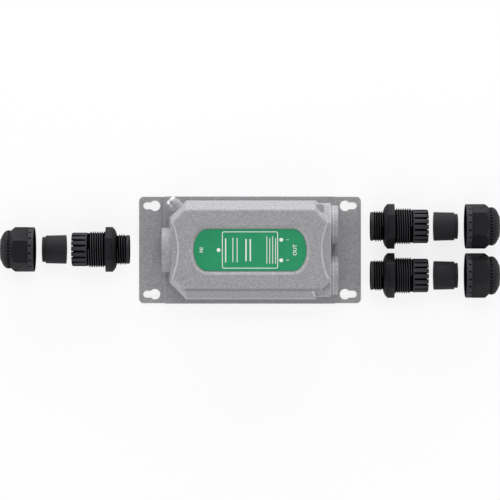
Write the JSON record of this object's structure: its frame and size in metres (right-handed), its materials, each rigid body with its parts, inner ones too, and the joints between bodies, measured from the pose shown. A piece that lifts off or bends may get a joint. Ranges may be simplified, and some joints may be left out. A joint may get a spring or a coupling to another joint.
{
  "type": "poe extender",
  "caption": "Outdoor power-over-ethernet extender: grey die-cast wall housing with keyhole ears, ground screw and threaded cable ports, its black cable glands laid out beside it.",
  "frame": {"origin": "centre of the flat mounting face of the housing", "axes": "+Z away from the mounting face, +X from the inlet end to the outlet end"},
  "size_m": [0.33, 0.0712, 0.0365],
  "materials": {
    "cast_grey": "die-cast, fine grey powder coat",
    "nylon_black": "moulded black nylon, satin",
    "rubber_dark": "matte dark grey rubber",
    "rubber_black": "black rubber cord",
    "label_green": "printed green film, satin",
    "clear_window": "clear light pipe",
    "steel_bright": "bright zinc plated",
    "shield_tin": "tinned sheet",
    "jack_black": "black moulding",
    "contact_gold": "gold plated",
    "board_green": "green solder mask",
    "chip_black": "black epoxy",
    "pad_grey": "soft heat pad",
    "ferrite_grey": "grey ferrite",
    "can_silver": "aluminium can",
    "led_white": "clear epoxy"
  },
  "bodies": {
    "housing": {"base_plate": "cast_grey", "board_screws": "steel_bright", "capacitors": "can_silver", "circuit_board": "board_green", "cover": "cast_grey", "gland_body_in": "nylon_black", "gland_body_out_1": "nylon_black", "gland_body_out_2": "nylon_black", "gland_nut_in": "nylon_black", "gland_nut_out_1": "nylon_black", "gland_nut_out_2": "nylon_black", "gland_seal_in": "rubber_dark", "gland_seal_out_1": "rubber_dark", "gland_seal_out_2": "rubber_dark", "heat_pad": "pad_grey", "housing_gasket": "rubber_black", "housing_screws": "steel_bright", "jack_contacts_in": "contact_gold", "jack_contacts_out_1": "contact_gold", "jack_contacts_out_2": "contact_gold", "jack_insert_in": "jack_black", "jack_insert_out_1": "jack_black", "jack_insert_out_2": "jack_black", "jack_shield_in": "shield_tin", "jack_shield_out_1": "shield_tin", "jack_shield_out_2": "shield_tin", "label": "label_green", "light_pipe_out_1": "clear_window", "light_pipe_out_2": "clear_window", "light_pipe_power": "clear_window", "magnetics": "chip_black", "power_inductor": "ferrite_grey", "status_leds": "led_white", "switch_chip": "chip_black"},
    "washer_set": {"ground_spring_washer": "steel_bright", "ground_washer": "steel_bright"},
    "screw": {"ground_screw": "steel_bright"}
  },
  "joints": [
    {"name": "ground_screw_lift", "type": "slide", "parent": "housing", "child": "washer_set", "axis": [-0.7071, 0.7071, 0], "range_m": [0, 0.0021]},
    {"name": "ground_screw_turn", "type": "hinge", "parent": "washer_set", "child": "screw", "pos_m": [-0.04976, 0.03021, 0.02], "axis": [-0.7071, 0.7071, 0], "range_deg": [0, 1080]}
  ]
}
